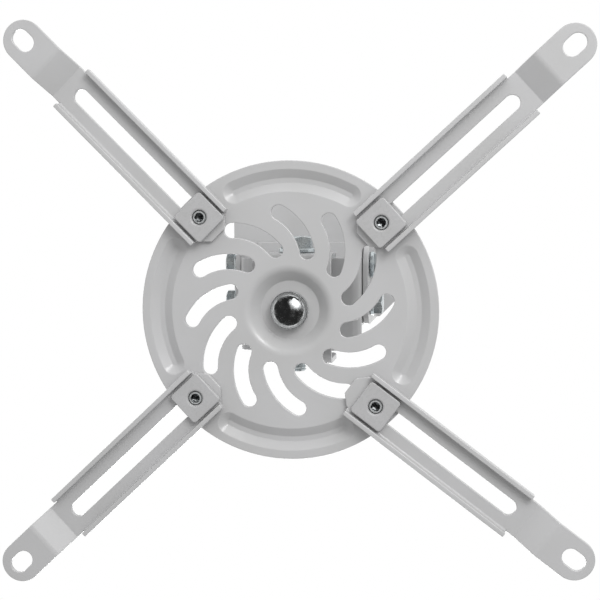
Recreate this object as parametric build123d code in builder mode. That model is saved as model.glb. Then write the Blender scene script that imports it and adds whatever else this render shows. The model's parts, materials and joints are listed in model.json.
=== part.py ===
# Projector ceiling mount: a ceiling plate, a three-axis joint of folded brackets, and a pressed
# disc that carries four sliding and swinging arms. Millimetres, +Z up to the ceiling. The origin
# is on the top of the ceiling plate, straight above the disc's swivel axis. Front is -Y.
import os
from math import cos, radians, sin, sqrt

from build123d import *

# Clearances
run_gap = 0.06  # radial, a bolt that turns in its hole
slide_gap = 0.3  # between faces that slide past each other
turn_gap = 0.2  # under a head or washer that turns on its seat
pick_gap = 0.01  # how near to a level an edge counts as lying on it

# Sheet thickness
bracket_sheet = 2.5
disc_sheet = 2.0
arm_sheet = 2.0
bend_radius = 2.0  # inside radius of the brackets' folds

# Ceiling plate and its fixing slots
plate_width = 80.0
plate_front = 56.0  # from the swivel axis to the front edge
plate_rear = 10.0
plate_front_chamfer = 20.0
plate_rear_chamfer = 9.0
fixing_spacing_x = 28.0
fixing_spacing_y = 50.0
fixing_center_y = -23.0
fixing_width = 6.5
fixing_length = 14.0

# Stirrup under the ceiling plate, and the pitch axis
stirrup_width = 60.0
ear_front = 26.0
ear_rear = 10.0
pitch_drop = 42.0  # ceiling to pitch axis
pitch_ear_end = 12.0  # ear edge below the pitch axis
ear_corner = 9.6
pitch_lock_arm = 17.0  # lock bolt to pitch axis, towards the front
pitch_limit = 15.0

# Pitch bracket, and the roll axis
pitch_web_drop = 17.0  # pitch axis to the underside of the web
pitch_ear_top = 9.0  # ear edge above the pitch axis
pitch_ear_corner = 7.2
roll_drop = 26.0  # pitch axis to roll axis
roll_ear_width = 28.0
roll_ear_end = 10.0
roll_ear_corner = 8.0

# Roll bracket
roll_wall_gap = 42.0  # between the insides of its two walls
roll_bracket_width = 34.0
roll_wall_end = 9.0
roll_wall_corner = 7.2
roll_floor_drop = 16.0  # roll axis to the top of the floor

# Disc
disc_diameter = 126.0
disc_clocking = 1.8  # turn of the disc's pattern about the swivel axis
dish_diameter = 35.0
dish_floor_diameter = 25.0
dish_depth = 5.0
dish_rim_fold = 5.0  # under the disc, at the dish's mouth
dish_floor_fold = 0.6  # under the disc, round the dish's floor
groove_edge = 8.3  # from the disc's edge to the middle of a groove
groove_width = 9.4
groove_floor = 2.1
groove_depth = 2.2
groove_turn = 53.0  # from end centre to end centre
groove_fold = 1.0  # radius of the grooves' folds
spiral_count = 12
spiral_width = 6.4
spiral_outer_radius = 41.5
spiral_inner_radius = 26.0
spiral_turn = 23.3
spiral_bend = 23.5  # radius of a slot's centreline
spiral_start = 3.8
screw_edge = 9.0  # from the disc's edge to a clamp screw

# Arms, measured along the arm from the clamp screw at full reach
arm_count = 4
arm_width = 21.8
arm_flange = 6.0
arm_bend = 1.0
arm_inner = 10.6
arm_inner_chamfer = 4.0
arm_flange_start = 6.0  # flange's inner end behind the screw
arm_slot_width = 6.6
arm_slot_travel = 71.7
arm_flange_end = 77.0
arm_joggle_start = 81.4
arm_joggle_run = 10.3
arm_joggle = 5.5  # how far the tab stands below the web
joggle_bend = 3.0
tab_width = 17.3
tab_hole_reach = 105.0
tab_hole_width = 7.4
tab_hole_length = 10.3

# Clamps between the arms' flanges
clamp_side = 15.5
clamp_thickness = 3.0
clamp_corner = 1.5
tongue_length = 3.0
tongue_edge = 0.5  # from the clamp's outer edge
screw_recess = 0.5
socket_width = 3.3
socket_depth = 3.0

# Hardware: thread radius, width across flats, head and nut heights, washer
m6_radius, m6_flats, m6_head, m6_nut = 3.0, 10.0, 4.0, 5.0
m8_radius, m8_flats, m8_head, m8_nut = 4.0, 13.0, 5.3, 6.5
m6_washer_radius, m8_washer_radius, washer_height = 6.0, 8.0, 1.6
bolt_past_nut = 1.0
roll_bolt_past_wall = 5.0
dome_skirt_diameter, dome_diameter = 16.0, 15.4
dome_skirt_height, dome_height = 4.0, 4.5
friction_washer_diameter, friction_washer_height = 24.0, 1.0

# Heights and offsets that follow from the sizes above
stirrup_inside = stirrup_width / 2 - bracket_sheet
pitch_outside = stirrup_inside - slide_gap
pitch_inside = pitch_outside - bracket_sheet
pitch_z = -pitch_drop
pitch_web_z = pitch_z - pitch_web_drop
roll_z = pitch_z - roll_drop
roll_inside = roll_wall_gap / 2
roll_outside = roll_inside + bracket_sheet
roll_ear_outside = roll_inside - slide_gap
roll_ear_inside = roll_ear_outside - bracket_sheet
roll_floor_z = roll_z - roll_floor_drop
roll_under_z = roll_floor_z - bracket_sheet
dish_top_z = roll_under_z - friction_washer_height - turn_gap
dish_under_z = dish_top_z - disc_sheet
disc_under_z = dish_under_z - dish_depth
disc_top_z = disc_under_z + disc_sheet
arm_top_z = disc_under_z - turn_gap
disc_radius = disc_diameter / 2
groove_radius = disc_radius - groove_edge
screw_radius = disc_radius - screw_edge
# the flat of an arm's web, between its folds
arm_flat = arm_width - 2 * (arm_bend + arm_sheet)

# Arms as the photograph shows them: name, turn about the screw from radial, reach from full
arm_poses = [
    ("rear_right", -9.8, -3.0),
    ("rear_left", 0.0, 0.0),
    ("front_left", -1.7, 0.0),
    ("front_right", 0.8, 0.0),
]


def save(piece, name):
    """Label a finished piece and write its file."""
    piece.label = name
    export_step(piece, f"parts/{name}.step")


def polar(radius, degrees):
    """A point of the disc's plane."""
    return (radius * cos(radians(degrees)), radius * sin(radians(degrees)))


def washer(plane, hole_radius, outer_radius, height):
    """A flat ring that rises from its plane."""
    with BuildPart() as ring:
        with BuildSketch(plane):
            Circle(outer_radius)
            Circle(hole_radius, mode=Mode.SUBTRACT)
        extrude(amount=height)
    return ring.part


def hex_nut(plane, flats, height, hole_radius):
    """A hexagon nut that rises from its plane."""
    with BuildPart() as nut:
        with BuildSketch(plane):
            RegularPolygon(flats / sqrt(3), 6, rotation=30)
            Circle(hole_radius, mode=Mode.SUBTRACT)
        extrude(amount=height)
    return nut.part


def hex_bolt(plane, radius, flats, head, length):
    """A hex bolt: the head rises from the plane, the shank goes down through it."""
    with BuildPart() as bolt:
        with BuildSketch(plane):
            RegularPolygon(flats / sqrt(3), 6, rotation=30)
        extrude(amount=head)
        with BuildSketch(plane):
            Circle(radius)
        extrude(amount=-length)
    return bolt.part


os.makedirs("parts", exist_ok=True)

# Ceiling plate with four fixing slots
with BuildPart() as ceiling_plate:
    with BuildSketch():
        with Locations((0, (plate_rear - plate_front) / 2)):
            Rectangle(plate_width, plate_front + plate_rear)
        chamfer(vertices().group_by(Axis.Y)[-1], plate_rear_chamfer)
        chamfer(vertices().group_by(Axis.Y)[0], plate_front_chamfer)
        with Locations((0, fixing_center_y)):
            with GridLocations(fixing_spacing_x, fixing_spacing_y, 2, 2):
                SlotOverall(fixing_length, fixing_width, mode=Mode.SUBTRACT)
    extrude(amount=-bracket_sheet)
save(ceiling_plate.part, "ceiling_plate")

# Stirrup: one folded strip, its web under the plate and an ear down each side
ear_side = Plane(origin=(0, 0, pitch_z), x_dir=(0, 1, 0), z_dir=(1, 0, 0))
with BuildLine() as lock_path:
    CenterArc((0, 0), pitch_lock_arm, 180 - pitch_limit, 2 * pitch_limit)
with BuildPart() as stirrup:
    with BuildSketch(Plane(origin=(0, ear_rear, 0), x_dir=(1, 0, 0), z_dir=(0, -1, 0))):
        with BuildLine():
            half = stirrup_width / 2
            FilletPolyline(
                (-half, pitch_z - pitch_ear_end),
                (-half, -bracket_sheet),
                (half, -bracket_sheet),
                (half, pitch_z - pitch_ear_end),
                radius=bend_radius + bracket_sheet,
            )
            offset(amount=bracket_sheet, side=Side.RIGHT)
        make_face()
    extrude(amount=ear_front + ear_rear)
    low_edges = edges().filter_by(Axis.X).group_by(Axis.Z)[0]
    fillet(low_edges, ear_corner)
    with BuildSketch(ear_side):
        Circle(m6_radius + run_gap)
        SlotArc(lock_path.edge(), 2 * (m6_radius + slide_gap))
    extrude(amount=stirrup_width, both=True, mode=Mode.SUBTRACT)
    with BuildSketch(Plane.XY):
        with Locations((0, fixing_center_y + fixing_spacing_y / 2)):
            with GridLocations(fixing_spacing_x, 1, 2, 1):
                SlotOverall(fixing_length, fixing_width)
    extrude(amount=-2 * bracket_sheet, mode=Mode.SUBTRACT)
save(stirrup.part, "stirrup")

# Pitch bracket: ears up inside the stirrup, ears down inside the roll bracket
with BuildPart() as pitch_bracket:
    with BuildSketch(Plane(origin=(0, roll_ear_outside, 0), x_dir=(1, 0, 0), z_dir=(0, -1, 0))):
        with BuildLine():
            FilletPolyline(
                (-pitch_outside, pitch_z + pitch_ear_top),
                (-pitch_outside, pitch_web_z),
                (pitch_outside, pitch_web_z),
                (pitch_outside, pitch_z + pitch_ear_top),
                radius=bend_radius + bracket_sheet,
            )
            offset(amount=bracket_sheet, side=Side.LEFT)
        make_face()
    extrude(amount=ear_front + roll_ear_outside)
    # the web stops at the front fold, and the ears stop behind their pivot holes
    with BuildSketch(Plane.XY.offset(pitch_web_z)):
        with Locations((0, -(roll_ear_outside + ear_front) / 2)):
            Rectangle(2 * pitch_outside, ear_front - roll_ear_outside)
    extrude(amount=bracket_sheet + bend_radius, mode=Mode.SUBTRACT)
    with BuildSketch(ear_side):
        with Locations((ear_rear, -pitch_web_drop + bracket_sheet + bend_radius)):
            Rectangle(roll_ear_outside, pitch_drop, align=(Align.MIN, Align.MIN))
    extrude(amount=stirrup_width, both=True, mode=Mode.SUBTRACT)
    top_edges = edges().filter_by(Axis.X).group_by(Axis.Z)[-1]
    fillet(top_edges, pitch_ear_corner)
    with BuildSketch(Plane.YZ.offset(-roll_ear_width / 2)):
        with BuildLine():
            FilletPolyline(
                (-roll_ear_outside, roll_z - roll_ear_end),
                (-roll_ear_outside, pitch_web_z + bracket_sheet),
                (roll_ear_outside, pitch_web_z + bracket_sheet),
                (roll_ear_outside, roll_z - roll_ear_end),
                radius=bend_radius + bracket_sheet,
            )
            offset(amount=bracket_sheet, side=Side.RIGHT)
        make_face()
    extrude(amount=roll_ear_width)
    ear_ends = edges().filter_by(Axis.Y).group_by(Axis.Z)[0]
    fillet(ear_ends, roll_ear_corner)
    with BuildSketch(ear_side):
        Circle(m6_radius + run_gap)
        with Locations((-pitch_lock_arm, 0)):
            Circle(m6_radius + run_gap)
    extrude(amount=stirrup_width, both=True, mode=Mode.SUBTRACT)
    with BuildSketch(Plane(origin=(0, 0, roll_z), x_dir=(1, 0, 0), z_dir=(0, -1, 0))):
        Circle(m8_radius + run_gap)
    extrude(amount=roll_wall_gap, both=True, mode=Mode.SUBTRACT)
save(pitch_bracket.part, "pitch_bracket")

# Roll bracket: a U with its floor over the disc
with BuildPart() as roll_bracket:
    with BuildSketch(Plane.YZ.offset(-roll_bracket_width / 2)):
        with BuildLine():
            FilletPolyline(
                (-roll_outside, roll_z + roll_wall_end),
                (-roll_outside, roll_under_z),
                (roll_outside, roll_under_z),
                (roll_outside, roll_z + roll_wall_end),
                radius=bend_radius + bracket_sheet,
            )
            offset(amount=bracket_sheet, side=Side.LEFT)
        make_face()
    extrude(amount=roll_bracket_width)
    wall_tops = edges().filter_by(Axis.Y).group_by(Axis.Z)[-1]
    fillet(wall_tops, roll_wall_corner)
    with BuildSketch(Plane(origin=(0, 0, roll_z), x_dir=(1, 0, 0), z_dir=(0, -1, 0))):
        Circle(m8_radius + run_gap)
    extrude(amount=roll_wall_gap, both=True, mode=Mode.SUBTRACT)
    with BuildSketch(Plane.XY.offset(roll_floor_z)):
        Circle(m8_radius + run_gap)
    extrude(amount=-bracket_sheet, mode=Mode.SUBTRACT)
save(roll_bracket.part, "roll_bracket")

# Pitch hardware, one pivot bolt and one lock bolt a side, with washers and nuts
for side, sign in (("left", -1), ("right", 1)):
    for use, bolt_y in (("pivot", 0.0), ("lock", -pitch_lock_arm)):
        washer_x = stirrup_width / 2 + turn_gap
        seat = Plane(origin=(sign * washer_x, bolt_y, pitch_z), x_dir=(0, 1, 0), z_dir=(sign, 0, 0))
        under_head = seat.offset(washer_height)
        nut_seat = Plane(
            origin=(sign * pitch_inside, bolt_y, pitch_z), x_dir=(0, 1, 0), z_dir=(-sign, 0, 0)
        )
        shank = washer_x + washer_height - pitch_inside + m6_nut + bolt_past_nut
        save(
            washer(seat, m6_radius + run_gap, m6_washer_radius, washer_height),
            f"pitch_{use}_washer_{side}",
        )
        save(hex_bolt(under_head, m6_radius, m6_flats, m6_head, shank), f"pitch_{use}_bolt_{side}")
        save(hex_nut(nut_seat, m6_flats, m6_nut, m6_radius + run_gap), f"pitch_{use}_nut_{side}")

# Roll hardware: one long bolt through both brackets, screwed into a weld nut on the rear ear
roll_seat = Plane(origin=(0, -roll_outside - turn_gap, roll_z), x_dir=(1, 0, 0), z_dir=(0, -1, 0))
roll_length = 2 * roll_outside + turn_gap + washer_height + roll_bolt_past_wall
save(washer(roll_seat, m8_radius + run_gap, m8_washer_radius, washer_height), "roll_washer")
save(
    hex_bolt(roll_seat.offset(washer_height), m8_radius, m8_flats, m8_head, roll_length),
    "roll_bolt",
)
weld_nut_seat = Plane(origin=(0, roll_ear_inside, roll_z), x_dir=(1, 0, 0), z_dir=(0, -1, 0))
save(hex_nut(weld_nut_seat, m8_flats, m8_nut, m8_radius + run_gap), "roll_weld_nut")

# Swivel hardware: a dome-headed bolt under the disc, with its friction washer, washer and nut
with BuildPart() as swivel_bolt:
    head_z = dish_under_z - turn_gap
    shank_top = roll_floor_z + washer_height + m8_nut + bolt_past_nut
    skirt_r, dome_r = dome_skirt_diameter / 2, dome_diameter / 2
    dome_base = head_z - dome_skirt_height
    with BuildSketch(Plane.XZ):
        with BuildLine():
            Line((0, shank_top), (m8_radius, shank_top))
            Line((m8_radius, shank_top), (m8_radius, head_z))
            Line((m8_radius, head_z), (skirt_r, head_z))
            Line((skirt_r, head_z), (skirt_r, dome_base))
            Line((skirt_r, dome_base), (dome_r, dome_base))
            rise = dome_height
            dome_arc = (dome_r**2 + rise**2) / (2 * rise)
            half_r = dome_r / 2
            half_z = dome_base - (sqrt(dome_arc**2 - half_r**2) - (dome_arc - rise))
            ThreePointArc((dome_r, dome_base), (half_r, half_z), (0, dome_base - rise))
            Line((0, dome_base - rise), (0, shank_top))
        make_face()
    revolve(axis=Axis.Z)
save(swivel_bolt.part, "swivel_bolt")
friction_plane = Plane.XY.offset(roll_under_z - friction_washer_height)
save(
    washer(friction_plane, m8_radius + run_gap, friction_washer_diameter / 2, friction_washer_height),
    "friction_washer",
)
floor_plane = Plane.XY.offset(roll_floor_z)
save(washer(floor_plane, m8_radius + run_gap, m8_washer_radius, washer_height), "swivel_washer")
save(
    hex_nut(floor_plane.offset(washer_height), m8_flats, m8_nut, m8_radius + run_gap),
    "swivel_nut",
)

# Disc: turned section with its dish, four pressed grooves, twelve curved slots, four screw holes
slope_run = (groove_width - groove_floor) / 2
# the upper side of the fold stands out by the sheet's share of half the bend
fold_shift = disc_sheet * (sqrt(slope_run**2 + groove_depth**2) - slope_run) / groove_depth
with BuildPart() as disc:
    with BuildSketch(Plane.XZ):
        with BuildLine():
            FilletPolyline(
                (m8_radius + run_gap, dish_under_z),
                (dish_floor_diameter / 2, dish_under_z),
                (dish_diameter / 2, disc_under_z),
                (disc_radius, disc_under_z),
                radius=[dish_floor_fold, dish_rim_fold],
            )
            offset(amount=disc_sheet, side=Side.LEFT)
        make_face()
    revolve(axis=Axis.Z)
    for quarter in range(4):
        middle = disc_clocking + 90 * quarter
        with BuildLine(Plane.XY) as groove_path:
            CenterArc((0, 0), groove_radius, middle - groove_turn / 2, groove_turn)
        with BuildSketch(Plane.XY.offset(disc_top_z)):
            SlotArc(groove_path.edge(), groove_width + 2 * fold_shift)
        with BuildSketch(Plane.XY.offset(disc_top_z + groove_depth)):
            SlotArc(groove_path.edge(), groove_floor + 2 * fold_shift)
        loft(ruled=True)
        with BuildSketch(Plane.XY.offset(disc_under_z)):
            SlotArc(groove_path.edge(), groove_width)
        with BuildSketch(Plane.XY.offset(disc_under_z + groove_depth)):
            SlotArc(groove_path.edge(), groove_floor)
        loft(ruled=True, mode=Mode.SUBTRACT)
    # round over the folds, at the mouth and the floor of each groove on both faces
    for face_z in (disc_under_z, disc_top_z):
        for level in (face_z, face_z + groove_depth):
            on_level = edges().filter_by_position(Axis.Z, level - pick_gap, level + pick_gap)
            fillet(on_level.filter_by(lambda edge: edge.length < disc_radius), groove_fold)
    with BuildSketch(Plane.XY.offset(disc_under_z)):
        for n in range(spiral_count):
            outer_angle = -spiral_start - disc_clocking + 360 / spiral_count * n
            outer = Vector(*polar(spiral_outer_radius, outer_angle))
            inner = Vector(*polar(spiral_inner_radius, outer_angle + spiral_turn))
            chord = outer - inner
            sag = spiral_bend - sqrt(spiral_bend**2 - (chord.length / 2) ** 2)
            bulge = Vector(-chord.Y, chord.X).normalized() * sag
            with BuildLine() as spiral_path:
                ThreePointArc(inner, (inner + outer) / 2 + bulge, outer)
            SlotArc(spiral_path.edge(), spiral_width)
        with PolarLocations(screw_radius, arm_count, start_angle=45 + disc_clocking):
            Circle(m6_radius + run_gap)
    extrude(amount=disc_sheet, mode=Mode.SUBTRACT)
save(disc.part, "disc")

# Arms with their clamps, clamp screws and nuts
for n, (where, turn, reach) in enumerate(arm_poses):
    radial = 45 + disc_clocking + 90 * n
    screw_x, screw_y = polar(screw_radius, radial)
    along = polar(1, radial + turn)
    # local x runs out along the arm and local z points down, away from the ceiling
    seat = Plane(origin=(screw_x, screw_y, arm_top_z), x_dir=(*along, 0), z_dir=(0, 0, -1))
    start = Plane(
        origin=(screw_x + reach * along[0], screw_y + reach * along[1], arm_top_z),
        x_dir=(*along, 0),
        z_dir=(0, 0, -1),
    )
    across = Plane(origin=start.origin, x_dir=start.y_dir, z_dir=start.x_dir)
    side_view = Plane(origin=start.origin, x_dir=start.x_dir, z_dir=-start.y_dir)

    # a flat strip with its joggled tab, cut to its outline, then the channel's folded flanges
    with BuildPart() as arm:
        with BuildSketch(side_view):
            with BuildLine():
                FilletPolyline(
                    (-arm_inner, 0),
                    (arm_joggle_start, 0),
                    (arm_joggle_start + arm_joggle_run, arm_joggle),
                    (tab_hole_reach + tab_width / 2, arm_joggle),
                    radius=joggle_bend,
                )
                offset(amount=arm_sheet, side=Side.LEFT)
            make_face()
        extrude(amount=arm_width / 2, both=True)
        with BuildSketch(start):
            with Locations((-arm_inner, 0)):
                Rectangle(arm_inner + arm_flange_end, arm_flat, align=(Align.MIN, Align.CENTER))
            chamfer(vertices().group_by(Axis.X)[0], arm_inner_chamfer)
            with Locations((arm_flange_end, 0)):
                Rectangle(tab_hole_reach - arm_flange_end, tab_width, align=(Align.MIN, Align.CENTER))
            with Locations((tab_hole_reach, 0)):
                Circle(tab_width / 2)
        extrude(amount=arm_joggle + arm_sheet, mode=Mode.INTERSECT)
        with BuildSketch(across.offset(-arm_flange_start)):
            with BuildLine():
                FilletPolyline(
                    (-arm_width / 2, arm_flange),
                    (-arm_width / 2, 0),
                    (arm_width / 2, 0),
                    (arm_width / 2, arm_flange),
                    radius=arm_bend + arm_sheet,
                )
                offset(amount=arm_sheet, side=Side.LEFT)
            make_face()
        extrude(amount=arm_flange_start + arm_flange_end)
        with BuildSketch(start):
            with Locations((arm_slot_travel / 2, 0)):
                SlotCenterToCenter(arm_slot_travel, arm_slot_width)
            with Locations((tab_hole_reach, 0)):
                SlotOverall(tab_hole_length, tab_hole_width)
        extrude(amount=arm_joggle + arm_sheet, mode=Mode.SUBTRACT)
    save(arm.part, f"arm_{where}")

    # a square clamp with a tongue in the arm's slot
    clamp_seat = seat.offset(arm_sheet + turn_gap)
    with BuildPart() as clamp:
        with BuildSketch(clamp_seat):
            RectangleRounded(clamp_side, clamp_side, clamp_corner)
        extrude(amount=clamp_thickness)
        with BuildSketch(clamp_seat):
            with Locations((clamp_side / 2 - tongue_edge, 0)):
                Rectangle(
                    tongue_length, arm_slot_width - 2 * slide_gap, align=(Align.MAX, Align.CENTER)
                )
        extrude(amount=-arm_sheet)
        with BuildSketch(clamp_seat):
            Circle(m6_radius + run_gap)
        extrude(amount=clamp_thickness, mode=Mode.SUBTRACT)
        mouth = edges().filter_by(GeomType.CIRCLE).group_by(Axis.Z)[0]
        chamfer(mouth.filter_by(lambda edge: edge.radius > clamp_corner), screw_recess)
    save(clamp.part, f"clamp_{where}")

    # the clamp screw stands in the disc, its socket just inside the clamp's face
    screw_front = clamp_seat.offset(clamp_thickness - screw_recess)
    nut_seat = Plane(origin=(screw_x, screw_y, disc_top_z))
    screw_top = disc_top_z + m6_nut + bolt_past_nut
    with BuildPart() as clamp_screw:
        with BuildSketch(screw_front):
            Circle(m6_radius)
        extrude(amount=screw_front.origin.Z - screw_top)
        with BuildSketch(screw_front):
            RegularPolygon(socket_width / sqrt(3), 6)
        extrude(amount=-socket_depth, mode=Mode.SUBTRACT)
    save(clamp_screw.part, f"clamp_screw_{where}")
    save(hex_nut(nut_seat, m6_flats, m6_nut, m6_radius + run_gap), f"clamp_nut_{where}")
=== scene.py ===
import json
from math import atan2, cos, pi, radians, sin, sqrt, tan

import bmesh
import bpy
from mathutils import Matrix, Vector


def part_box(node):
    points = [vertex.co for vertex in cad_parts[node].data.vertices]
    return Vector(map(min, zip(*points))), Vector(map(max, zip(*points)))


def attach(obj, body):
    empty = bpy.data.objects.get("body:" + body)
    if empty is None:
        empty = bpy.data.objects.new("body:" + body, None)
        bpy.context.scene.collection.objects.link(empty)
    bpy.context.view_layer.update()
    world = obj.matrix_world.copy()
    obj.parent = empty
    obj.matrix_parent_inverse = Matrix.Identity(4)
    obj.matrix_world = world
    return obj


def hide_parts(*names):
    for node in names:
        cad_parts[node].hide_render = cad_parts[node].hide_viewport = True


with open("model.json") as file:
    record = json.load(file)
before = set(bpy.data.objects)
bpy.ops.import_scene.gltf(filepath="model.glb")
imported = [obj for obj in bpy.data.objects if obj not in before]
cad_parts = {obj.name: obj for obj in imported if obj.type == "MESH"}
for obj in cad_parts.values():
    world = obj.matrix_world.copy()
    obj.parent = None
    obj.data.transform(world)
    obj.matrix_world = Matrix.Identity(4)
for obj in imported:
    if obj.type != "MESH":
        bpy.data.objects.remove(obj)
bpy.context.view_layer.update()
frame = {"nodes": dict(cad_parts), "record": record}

MM = 0.001
WHERE = ("front_left", "front_right", "rear_left", "rear_right")
UP = (0, 0, 1)
TO_FRONT = (0, -1, 0)

# Edges of sheet and plate, in millimetres
SHEET_EDGE = 0.4
CLAMP_EDGE = 0.5
EDGE_SEGMENTS = 3
EDGE_ANGLE = radians(30)  # an outside fold sharper than this is an edge, and is rounded
SMOOTH_ANGLE = radians(32)  # a fold sharper than this shows as a line
FLAT_ANGLE = radians(0.2)  # faces that differ by less than this are one flat face
SAME_POINT = 0.001

# Hardware in millimetres: thread radius, thread pitch and head height
M6 = {"radius": 3.0, "pitch": 1.0, "head": 4.0}
M8 = {"radius": 4.0, "pitch": 1.25, "head": 5.3}
BORE_GAP = 0.06
THREAD_DEPTH = 0.55  # share of the pitch
THREAD_RINGS = 6  # rings to one turn of thread
THREADED_LENGTH = {"pitch": 9.0, "roll": 16.0, "swivel": 8.0, "clamp": 8.0}
TIP_CHAMFER = 0.6  # share of the pitch
RING_SEGMENTS = 48
HEX_CIRCLE = 0.95  # chamfer circle's share of the width across flats
HEX_SLOPE = tan(radians(30))
HEX_CORNER = 2 / sqrt(3)  # distance to a corner as a share of the distance to a flat
WASHER_EDGE = 0.25

# Dome bolt, in millimetres
DOME_SKIRT = 4.0
DOME_SKIRT_RADIUS = 8.0
DOME_RADIUS = 7.7
DOME_RISE = 4.5
DOME_RINGS = 18

# Socket screws, in millimetres
SOCKET_FLATS = 3.3
SOCKET_DEPTH = 3.0
SOCKET_LEAD = 0.3
SOCKET_POINT = 1 / 3  # flat of the drilled end, as a share of the socket's width
SCREW_LEAD = 0.55
SCREW_LEAD_DEPTH = 1.2

# Camera fitted to the photograph: millimetres, radians, and pixels of its image
CAMERA_PLACE = Vector((83.9, -47.5, -674.2))
CAMERA_AIM = Vector((4.90, -4.60, -95.0))
CAMERA_ROLL = -0.0043
FOCAL_PIXELS = 1397.6
IMAGE_PIXELS = 600.0
SENSOR = 36.0
NEAREST, FURTHEST = 0.01, 20.0  # what it sees, in metres

# Studio, in metres from the ceiling
FLOOR_RADIUS, FLOOR_HEIGHT = 3.0, -1.5
CARD_RADIUS, CARD_HEIGHT = 8.0, -1.25
STAGE_SEGMENTS = 64
DISC_MIDDLE = Vector((0, 0, -0.09))
BRACKET_MIDDLE = Vector((0, 0, -0.05))
FLOOR_WHITE = 0.85  # share of plain white in what is seen of the floor
ROOM_LIGHT = 0.67  # the world's light on the object, where 1 is white


# Colours and materials

WHITE = "#FFFFFF"
NOISE_LOW, NOISE_HIGH = 0.3, 0.7  # where most of a noise's values lie


def linear(hex_colour):
    """An sRGB hex value as linear red, green, blue and alpha."""
    channels = [int(hex_colour[i:i + 2], 16) / 255 for i in (1, 3, 5)]
    return [c / 12.92 if c <= 0.04045 else ((c + 0.055) / 1.055) ** 2.4 for c in channels] + [1.0]


def add_node(tree, kind, settings=None, links=None):
    """One shader node with its settings, its input values and what is linked into it."""
    node = tree.nodes.new(kind)
    for name, value in (settings or {}).items():
        if name in node.inputs:
            node.inputs[name].default_value = value
        else:
            setattr(node, name, value)
    for name, source in (links or {}).items():
        tree.links.new(source, node.inputs[name])
    return node


def finish(name, fixed, colours, patch, grain, gloss, relief):
    """A coat or plating: two colours in soft patches, and a finer grain in its gloss and its relief.

    Patch and grain are millimetres across, relief is a height in millimetres, gloss is a range of
    roughness, and fixed holds the shader's constant values.
    """
    material = bpy.data.materials.new(name)
    material.use_nodes = True
    tree = material.node_tree
    place = add_node(tree, "ShaderNodeTexCoord").outputs["Object"]
    wide = add_node(tree, "ShaderNodeTexNoise", {"Scale": 1 / (patch * MM)}, {"Vector": place})
    fine = add_node(tree, "ShaderNodeTexNoise", {"Scale": 1 / (grain * MM)}, {"Vector": place})
    tint = add_node(tree, "ShaderNodeValToRGB", {}, {"Fac": wide.outputs["Fac"]})
    for stop, where, colour in zip(tint.color_ramp.elements, (NOISE_LOW, NOISE_HIGH), colours):
        stop.position, stop.color = where, linear(colour)
    span = {
        "From Min": NOISE_LOW,
        "From Max": NOISE_HIGH,
        "To Min": gloss[0],
        "To Max": gloss[1],
    }
    rough = add_node(tree, "ShaderNodeMapRange", span, {"Value": fine.outputs["Fac"]})
    bump = add_node(tree, "ShaderNodeBump", {"Distance": relief * MM}, {"Height": fine.outputs["Fac"]})
    shader = tree.nodes["Principled BSDF"]
    for socket, value in fixed.items():
        shader.inputs[socket].default_value = value
    tree.links.new(tint.outputs["Color"], shader.inputs["Base Color"])
    tree.links.new(rough.outputs["Result"], shader.inputs["Roughness"])
    tree.links.new(bump.outputs["Normal"], shader.inputs["Normal"])
    return material


FINISH = {
    # baked powder on steel: an even pale grey with a soft gloss, and a faint orange peel drawn about
    # twice as coarse as the real millimetre, so that it shows
    "powder_coat": finish(
        "powder_coat", {"IOR": 1.5}, colours=("#BABABA", "#C0C0C1"),
        patch=34.0, grain=2.4, gloss=(0.18, 0.24), relief=0.004,
    ),
    # the same powder on the small clamps: a shade darker and duller, where it is thinner
    "clamp_coat": finish(
        "clamp_coat", {"IOR": 1.5}, colours=("#B1B1B1", "#B6B6B7"),
        patch=12.0, grain=2.0, gloss=(0.24, 0.32), relief=0.004,
    ),
    # bright zinc with a blue passivate: bluish steel, mottled from patch to patch, with the mottle
    # drawn coarser than the real one, which is too fine to show
    "zinc_hardware": finish(
        "zinc_plate", {"Metallic": 0.7}, colours=("#BFC9CE", "#D6DBDB"),
        patch=5.0, grain=3.0, gloss=(0.2, 0.34), relief=0.004,
    ),
    # zinc flake on the hardened screws: a pale dull metal, with flakes drawn coarse enough to show
    "socket_screw": finish(
        "zinc_flake", {"Metallic": 0.4}, colours=("#C2C5C6", "#E0E2E2"),
        patch=0.9, grain=0.6, gloss=(0.25, 0.4), relief=0.02,
    ),
    # steel in the sockets: darkened partly for its black oxide and partly as painted shade of the
    # recess, with pale patches that are painted glints, drawn coarse to show
    "socket_shade_and_glint": finish(
        "socket_steel_shade_and_glint", {"Metallic": 1.0}, colours=("#5C5F61", "#B4B7B8"),
        patch=0.9, grain=0.6, gloss=(0.18, 0.32), relief=0.03,
    ),
    # chrome over a barrelled dome: mirror bright, dark where the room is dark, and a little uneven,
    # with the barrelling drawn coarser than the real one, which is too fine to show
    "chrome_dome": finish(
        "chrome", {"Metallic": 1.0}, colours=("#C6C8C9", "#D2D4D4"),
        patch=3.0, grain=2.2, gloss=(0.04, 0.36), relief=0.06,
    ),
    # a moulded nylon washer: near black and waxy, with a faint flow mottle
    "nylon": finish(
        "nylon", {"IOR": 1.53}, colours=("#363636", "#404040"),
        patch=3.0, grain=0.8, gloss=(0.38, 0.52), relief=0.01,
    ),
}


# Making pieces

def body_of(node):
    """The body that carries a node."""
    return next(b for b, nodes in frame["record"]["behaviour"]["bodies"].items() if node in nodes)


def dressed(node, mesh, slot, coat=None):
    """A finished piece that stands for a node, riding on its body."""
    for polygon in mesh.polygons:
        polygon.use_smooth = True
    mesh.set_sharp_from_angle(angle=SMOOTH_ANGLE)
    piece = bpy.data.objects.new(f"{node}_piece", mesh)
    bpy.context.scene.collection.objects.link(piece)
    mesh.materials.append(FINISH[coat or slot])
    # broad flat faces keep their own shading right up to their rounded edges
    piece.modifiers.new("flat_faces", "WEIGHTED_NORMAL").keep_sharp = True
    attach(piece, body_of(node))
    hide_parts(node)


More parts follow.
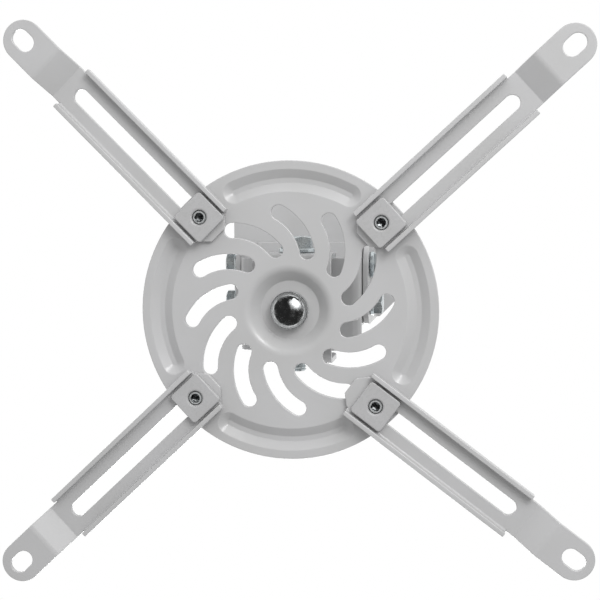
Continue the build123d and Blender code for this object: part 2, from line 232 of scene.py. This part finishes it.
def sheet_piece(node, slot, edge_width):
    """A merged copy of a node with its outer edges rounded over, as the coat leaves them."""
    bm = bmesh.new()
    bm.from_mesh(frame["nodes"][node].data)
    bmesh.ops.remove_doubles(bm, verts=bm.verts[:], dist=SAME_POINT * MM)
    bmesh.ops.dissolve_limit(bm, angle_limit=FLAT_ANGLE, verts=bm.verts[:], edges=bm.edges[:])
    outer = [e for e in bm.edges if e.is_manifold and e.calc_face_angle_signed() > EDGE_ANGLE]
    bmesh.ops.bevel(
        bm,
        geom=outer,
        offset=edge_width * MM,
        affect="EDGES",
        segments=EDGE_SEGMENTS,
        profile=0.5,
        material=-1,
    )
    bmesh.ops.dissolve_degenerate(bm, dist=SAME_POINT * MM, edges=bm.edges[:])
    mesh = bpy.data.meshes.new(f"{node}_mesh")
    bm.to_mesh(mesh)
    bm.free()
    dressed(node, mesh, slot)


def hex_radius(half_flats, angle):
    """Distance from the centre to a hexagon's side, with a flat across the x axis."""
    return half_flats / cos((angle + pi / 6) % (pi / 3) - pi / 6)


def place_ring(verts, step):
    """Moves a ring to its step: a shape, a size and a height.

    A hex cone's step also has a slope, and a thread's has its pitch.
    """
    shape, size, height, *extra = step
    for vert in verts:
        angle = atan2(vert.co.y, vert.co.x)
        radius, z = size, height
        if shape in ("hex", "hex_cone"):
            radius = hex_radius(size, angle)
        if shape == "hex_cone":
            z = height + extra[0] * (radius - HEX_CIRCLE * size)
        if shape == "thread":
            turn = (height / extra[0] - angle / (2 * pi)) % 1.0
            radius = size - THREAD_DEPTH * extra[0] * abs(2 * turn - 1)
        vert.co = Vector((radius * cos(angle), radius * sin(angle), z))


def ring_mesh(node, steps, closed, place):
    """A mesh made ring by ring, each drawn out of the last, then closed on itself or capped."""
    bm = bmesh.new()
    ring = bmesh.ops.create_circle(bm, segments=RING_SEGMENTS, radius=1.0)["verts"]
    place_ring(ring, steps[0])
    first = edges = bm.edges[:]
    for step in steps[1:]:
        made = bmesh.ops.extrude_edge_only(bm, edges=edges)["geom"]
        ring = [g for g in made if isinstance(g, bmesh.types.BMVert)]
        fresh = set(ring)
        edges = [
            g for g in made if isinstance(g, bmesh.types.BMEdge) and fresh.issuperset(g.verts)
        ]
        place_ring(ring, step)
    if closed:
        bmesh.ops.bridge_loops(bm, edges=first + edges)
    else:
        bmesh.ops.edgeloop_fill(bm, edges=first)
        bmesh.ops.edgeloop_fill(bm, edges=edges)
    bmesh.ops.scale(bm, vec=(MM, MM, MM), verts=bm.verts[:])
    bmesh.ops.transform(bm, matrix=place, verts=bm.verts[:])
    bmesh.ops.recalc_face_normals(bm, faces=bm.faces[:])
    mesh = bpy.data.meshes.new(f"{node}_mesh")
    bm.to_mesh(mesh)
    bm.free()
    return mesh


def standing(node, axis):
    """Where a fastener stands, its length along the axis, and half its width.

    Its own z runs along the axis from the far end, and its x goes through a flat.
    """
    low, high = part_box(node)
    along = Vector(axis)
    across = Vector((0, 1, 0)) if along.x else Vector((1, 0, 0))
    size = high - low
    length = abs(size.dot(along))
    place = Matrix((across, along.cross(across), along)).transposed().to_4x4()
    place.translation = (low + high) / 2 - along * length / 2
    return place, length / MM, abs(size.dot(across)) / MM / 2


def thread_steps(size, start, end):
    """Rings of a thread from one height to another."""
    count = max(2, round(abs(end - start) / size["pitch"] * THREAD_RINGS))
    step = (end - start) / count
    return [("thread", size["radius"], start + step * n, size["pitch"]) for n in range(count + 1)]


def shank_steps(size, seat, tip, threaded):
    """Rings of a shank from under its head to its chamfered tip, threaded near the tip."""
    way = 1 if tip > seat else -1
    root = size["radius"] - THREAD_DEPTH * size["pitch"]
    pitch = size["pitch"] * way
    start = tip - way * min(threaded, abs(tip - seat) - size["pitch"])
    plain = [("round", size["radius"], seat), ("round", size["radius"], start - pitch / 2)]
    return plain + thread_steps(size, start, tip - pitch * TIP_CHAMFER) + [("round", root, tip)]


def hex_bolt(node, axis, size, threaded):
    """A hex bolt whose head lies at the axis's end, with a chamfered head and a threaded tip."""
    place, length, half = standing(node, axis)
    under = length - size["head"]
    steps = [
        ("round", HEX_CIRCLE * half, length),
        ("hex_cone", half, length, -HEX_SLOPE),
        ("hex", half, under),
    ] + shank_steps(size, under, 0.0, threaded)
    dressed(node, ring_mesh(node, steps, False, place), "zinc_hardware")


def hex_nut(node, axis, size):
    """A hex nut with both faces chamfered and its bore countersunk."""
    place, height, half = standing(node, axis)
    bore = size["radius"] + BORE_GAP
    sink = size["pitch"] / 2
    steps = [
        ("round", HEX_CIRCLE * half, height),
        ("hex_cone", half, height, -HEX_SLOPE),
        ("hex_cone", half, 0.0, HEX_SLOPE),
        ("round", HEX_CIRCLE * half, 0.0),
        ("round", bore + sink, 0.0),
        ("round", bore, sink),
        ("round", bore, height - sink),
        ("round", bore + sink, height),
    ]
    dressed(node, ring_mesh(node, steps, True, place), "zinc_hardware")


def washer(node, axis, size, slot="zinc_hardware"):
    """A flat washer with stamped, softened edges."""
    place, height, outer = standing(node, axis)
    bore = size["radius"] + BORE_GAP
    steps = [
        ("round", outer - WASHER_EDGE, height),
        ("round", outer, height - WASHER_EDGE),
        ("round", outer, WASHER_EDGE),
        ("round", outer - WASHER_EDGE, 0.0),
        ("round", bore, 0.0),
        ("round", bore, height),
    ]
    dressed(node, ring_mesh(node, steps, True, place), slot)


def dome_bolt(node):
    """The swivel bolt: a polished dome on a low skirt, and a threaded shank through the brackets."""
    place, length, _ = standing(node, UP)
    seat = DOME_RISE + DOME_SKIRT
    dome = []
    for n in range(1, DOME_RINGS + 1):
        angle = pi / 2 * n / DOME_RINGS
        dome.append(("round", DOME_RADIUS * sin(angle), DOME_RISE * (1 - cos(angle))))
    soft = (DOME_SKIRT_RADIUS - DOME_RADIUS) / 2
    skirt = [
        ("round", DOME_SKIRT_RADIUS - soft, DOME_RISE),
        ("round", DOME_SKIRT_RADIUS, DOME_RISE + soft),
        ("round", DOME_SKIRT_RADIUS, seat),
    ]
    steps = dome + skirt + shank_steps(M8, seat, length, THREADED_LENGTH["swivel"])
    dressed(node, ring_mesh(node, steps, False, place), "chrome_dome")


def socket_screw(node):
    """A clamp screw: a chamfered end with a hex socket below, and a thread that goes up to the nut."""
    place, length, _ = standing(node, UP)
    half = SOCKET_FLATS / 2
    corner = half * HEX_CORNER
    point = half * SOCKET_POINT
    steps = [
        ("round", point, SOCKET_DEPTH + point),
        ("hex", half, SOCKET_DEPTH),
        ("hex", half, SOCKET_LEAD),
        ("round", corner + SOCKET_LEAD / 2, 0.0),
        ("round", M6["radius"] - SCREW_LEAD, 0.0),
    ] + shank_steps(M6, SCREW_LEAD_DEPTH, length, THREADED_LENGTH["clamp"])
    mesh = ring_mesh(node, steps, False, place)
    dressed(node, mesh, "zinc_hardware", "socket_screw")
    # the faces inside the socket take the dark steel, with its painted shade and painted glints
    mesh.materials.append(FINISH["socket_shade_and_glint"])
    for polygon in mesh.polygons:
        inside = (polygon.center - place.translation) / MM
        in_socket = inside.xy.length < corner and inside.z < SOCKET_DEPTH + half
        polygon.material_index = int(in_socket)


# Sheet parts and clamps
for sheet in ("ceiling_plate", "stirrup", "pitch_bracket", "roll_bracket", "disc"):
    sheet_piece(sheet, "powder_coat", SHEET_EDGE)
for where in WHERE:
    sheet_piece(f"arm_{where}", "powder_coat", SHEET_EDGE)
    sheet_piece(f"clamp_{where}", "clamp_coat", CLAMP_EDGE)
    socket_screw(f"clamp_screw_{where}")
    hex_nut(f"clamp_nut_{where}", UP, M6)

# Pitch, roll and swivel hardware
for side, outward in (("left", (-1, 0, 0)), ("right", (1, 0, 0))):
    for use in ("pivot", "lock"):
        hex_bolt(f"pitch_{use}_bolt_{side}", outward, M6, THREADED_LENGTH["pitch"])
        washer(f"pitch_{use}_washer_{side}", outward, M6)
        hex_nut(f"pitch_{use}_nut_{side}", outward, M6)
hex_bolt("roll_bolt", TO_FRONT, M8, THREADED_LENGTH["roll"])
washer("roll_washer", TO_FRONT, M8)
hex_nut("roll_weld_nut", TO_FRONT, M8)
dome_bolt("swivel_bolt")
hex_nut("swivel_nut", UP, M8)
washer("swivel_washer", UP, M8)
washer("friction_washer", UP, M8, "nylon")


# Floor, light and camera

def stage_disc(name, radius, height, paint):
    """A large level round of the studio."""
    bm = bmesh.new()
    bmesh.ops.create_circle(bm, cap_ends=True, segments=STAGE_SEGMENTS, radius=radius)
    bmesh.ops.translate(bm, vec=(0, 0, height), verts=bm.verts[:])
    mesh = bpy.data.meshes.new(f"{name}_mesh")
    bm.to_mesh(mesh)
    bm.free()
    mesh.materials.append(paint)
    piece = bpy.data.objects.new(name, mesh)
    bpy.context.scene.collection.objects.link(piece)
    return piece


def seen_rays(tree):
    """One for what the camera sees, by itself or mirrored or through something, and nought for light."""
    ray = add_node(tree, "ShaderNodeLightPath").outputs
    rays = {0: ray["Is Glossy Ray"], 1: ray["Is Transmission Ray"]}
    mirrored = add_node(tree, "ShaderNodeMath", {"operation": "MAXIMUM"}, rays)
    rays = {0: ray["Is Camera Ray"], 1: mirrored.outputs[0]}
    return add_node(tree, "ShaderNodeMath", {"operation": "MAXIMUM"}, rays).outputs[0]


def studio_floor():
    """A plain pale floor, and over it a black card that only shiny parts see, as round a camera."""
    # matt floor paint: an even white, lifted nearly to the background's where it is looked at
    paint = finish(
        "floor_paint", {"IOR": 1.45}, colours=("#CCCCCC", "#D2D2D2"),
        patch=400.0, grain=3.0, gloss=(0.75, 0.85), relief=0.02,
    )
    tree = paint.node_tree
    white = add_node(tree, "ShaderNodeEmission", {"Color": linear(WHITE), "Strength": 1.0})
    share = {"operation": "MULTIPLY", "Value": FLOOR_WHITE}
    lift = add_node(tree, "ShaderNodeMath", share, {1: seen_rays(tree)})
    sides = {0: lift.outputs[0], 1: tree.nodes["Principled BSDF"].outputs[0], 2: white.outputs[0]}
    mix = add_node(tree, "ShaderNodeMixShader", {}, sides)
    tree.links.new(mix.outputs[0], tree.nodes["Material Output"].inputs["Surface"])
    stage_disc("floor", FLOOR_RADIUS, FLOOR_HEIGHT, paint)
    # flocked card: black and dull
    flock = finish(
        "black_flock", {"IOR": 1.45}, colours=("#161616", "#1C1C1C"),
        patch=200.0, grain=3.0, gloss=(0.9, 1.0), relief=0.02,
    )
    card = stage_disc("black_card", CARD_RADIUS, CARD_HEIGHT, flock)
    card.visible_camera = card.visible_diffuse = card.visible_shadow = False


def studio_world():
    """White where it is looked at or mirrored, and a plain grey light on everything else."""
    world = bpy.data.worlds.new("studio")
    bpy.context.scene.world = world
    world.use_nodes = True
    tree = world.node_tree
    tree.nodes.clear()
    light = add_node(tree, "ShaderNodeBackground", {"Color": linear(WHITE), "Strength": ROOM_LIGHT})
    white = add_node(tree, "ShaderNodeBackground", {"Color": linear(WHITE), "Strength": 1.0})
    sides = {0: seen_rays(tree), 1: light.outputs[0], 2: white.outputs[0]}
    mix = add_node(tree, "ShaderNodeMixShader", {}, sides)
    add_node(tree, "ShaderNodeOutputWorld", {}, {"Surface": mix.outputs[0]})


def soft_lamp(name, place, aim, size, watts, mirrored=True):
    """A square soft box that isn't seen itself, though shiny parts may mirror it."""
    light = bpy.data.lights.new(name, "AREA")
    light.size, light.energy = size, watts
    lamp = bpy.data.objects.new(name, light)
    bpy.context.scene.collection.objects.link(lamp)
    lamp.location = place
    lamp.rotation_euler = (aim - Vector(place)).to_track_quat("-Z", "Y").to_euler()
    lamp.visible_camera = False
    lamp.visible_glossy = mirrored


def photo_camera():
    """The photograph's camera: below the disc, a little to its right and front, looking up."""
    camera = bpy.data.cameras.new("camera")
    camera.lens = FOCAL_PIXELS / IMAGE_PIXELS * SENSOR
    camera.sensor_width = SENSOR
    camera.clip_start, camera.clip_end = NEAREST, FURTHEST
    holder = bpy.data.objects.new("camera", camera)
    bpy.context.scene.collection.objects.link(holder)
    forward = (CAMERA_AIM - CAMERA_PLACE).normalized()
    right = forward.cross(Vector(TO_FRONT)).normalized()
    up = right.cross(forward)
    turned_right = right * cos(CAMERA_ROLL) + up * sin(CAMERA_ROLL)
    turned_up = up * cos(CAMERA_ROLL) - right * sin(CAMERA_ROLL)
    holder.matrix_world = (
        Matrix.Translation(CAMERA_PLACE * MM)
        @ Matrix((turned_right, turned_up, -forward)).transposed().to_4x4()
    )
    bpy.context.scene.camera = holder


studio_floor()
studio_world()
# the key is a soft box with a brighter middle, which puts thin bright lines on glossy edges
soft_lamp("key", place=(0.466, -0.536, -0.80), aim=DISC_MIDDLE, size=0.8, watts=3.3)
soft_lamp("key_middle", place=(0.464, -0.534, -0.797), aim=DISC_MIDDLE, size=0.3, watts=2.4)
soft_lamp("front", place=(0.0, -0.85, -0.6), aim=DISC_MIDDLE, size=1.2, watts=4.0, mirrored=False)
soft_lamp("top", place=(-0.5, 0.6, 1.2), aim=BRACKET_MIDDLE, size=1.0, watts=14.0)
photo_camera()
bpy.context.scene.view_settings.view_transform = "Standard"
